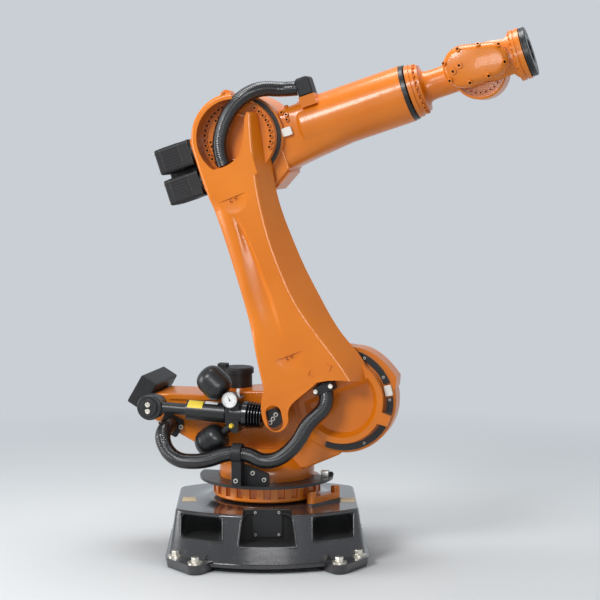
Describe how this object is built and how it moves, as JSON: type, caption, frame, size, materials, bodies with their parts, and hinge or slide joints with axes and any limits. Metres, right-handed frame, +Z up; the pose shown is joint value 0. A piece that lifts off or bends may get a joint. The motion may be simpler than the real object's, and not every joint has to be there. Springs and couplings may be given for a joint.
{
  "type": "industrial robot arm",
  "caption": "Floor-standing jointed-arm industrial robot with a turning column, leaning link arm, forearm, in-line wrist, tool flange and gas counterbalance.",
  "frame": {"origin": "where the vertical A1 axis meets the floor, the centre of the base bolt patterns", "axes": "+Z up, +Y away from the viewer across the base, +X to the right along the base front"},
  "size_m": [1.6809, 0.8538, 2.1822],
  "materials": {
    "orange_paint": "satin",
    "black_casting": "satin",
    "black_metal": "satin",
    "black_plastic": "matte",
    "black_rubber": "matte",
    "steel": "brushed",
    "buffer_white": "matte",
    "gauge_face": "gloss"
  },
  "bodies": {
    "base": {"base_frame": "black_casting", "base_cover_plate": "black_metal", "base_rear_plate": "black_metal", "a1_stop": "orange_paint"},
    "column": {"turntable_ring": "orange_paint", "guide_plate": "black_metal", "column": "orange_paint", "a1_motor": "black_metal", "a2_motor": "black_metal", "junction_box": "black_metal", "hose_gland_plate": "black_metal", "lower_hose_clamp": "black_metal", "a2_guard": "black_plastic", "a2_buffer": "buffer_white", "rear_pivot_pin": "steel", "lower_hose": "black_rubber"},
    "counter_cylinder": {"counter_cylinder": "black_metal", "accumulator_upper": "black_metal", "accumulator_lower": "black_metal", "pressure_gauge": "gauge_face", "cylinder_bellows": "black_rubber"},
    "counter_rod": {"counter_rod": "black_metal"},
    "link_arm": {"link_arm": "orange_paint", "a3_gear_cap": "orange_paint", "link_hose_clamp": "black_metal"},
    "arm": {"arm_housing": "orange_paint", "arm_tube_ring": "black_metal", "a3_motor": "black_metal", "wrist_motor_upper": "black_metal", "wrist_motor_lower": "black_metal", "wrist_motor_far": "black_metal", "arm_hose_bracket": "black_metal", "a3_buffer": "buffer_white", "a3_guard": "black_plastic", "arm_bottom_cover": "orange_paint", "upper_hose": "black_rubber"},
    "wrist": {"wrist_neck": "orange_paint", "wrist_cover": "orange_paint"},
    "hand": {"hand_housing": "orange_paint", "hand_cover": "orange_paint"},
    "tool_flange": {"tool_flange": "black_metal"}
  },
  "joints": [
    {"name": "a1_turn", "type": "hinge", "parent": "base", "child": "column", "pos_m": [0, 0, 0], "axis": [0, 0, 1], "range_deg": [-170, 200]},
    {"name": "a2_link", "type": "hinge", "parent": "column", "child": "link_arm", "pos_m": [0.33807, -0.09059, 0.675], "axis": [0.2588, 0.9659, 0], "range_deg": [-28.3, 106.7], "deforming": ["lower_hose"]},
    {"name": "a3_arm", "type": "hinge", "parent": "link_arm", "child": "arm", "pos_m": [-0.07265, 0.01946, 1.7435], "axis": [-0.2588, -0.9659, 0], "range_deg": [-61.7, 213.3], "deforming": ["upper_hose"]},
    {"name": "a4_roll", "type": "hinge", "parent": "arm", "child": "wrist", "pos_m": [-0.06014, 0.01612, 1.7046], "axis": [0.9165, -0.2456, 0.3156], "range_deg": [-350, 350]},
    {"name": "a5_bend", "type": "hinge", "parent": "wrist", "child": "hand", "pos_m": [0.8564, -0.22947, 2.02025], "axis": [0.2588, 0.9659, 0], "range_deg": [-125, 125]},
    {"name": "a6_tool", "type": "hinge", "parent": "hand", "child": "tool_flange", "pos_m": [1.05346, -0.28227, 2.08811], "axis": [0.9165, -0.2456, 0.3156], "range_deg": [-350, 350]},
    {"name": "cylinder_tilt", "type": "hinge", "parent": "column", "child": "counter_cylinder", "pos_m": [-0.48255, -0.06223, 0.627], "axis": [-0.2588, -0.9659, 0], "range_deg": [-10, 28]},
    {"name": "rod_slide", "type": "slide", "parent": "counter_cylinder", "child": "counter_rod", "axis": [0.965, -0.2586, -0.0432], "range_m": [-0.1, 0.345], "deforming": ["cylinder_bellows"]}
  ],
  "couplings": [
    {"joint": "cylinder_tilt", "follows": "a2_link", "ratio": 0.22838},
    {"joint": "rod_slide", "follows": "a2_link", "m_per_rad": 0.18224}
  ]
}
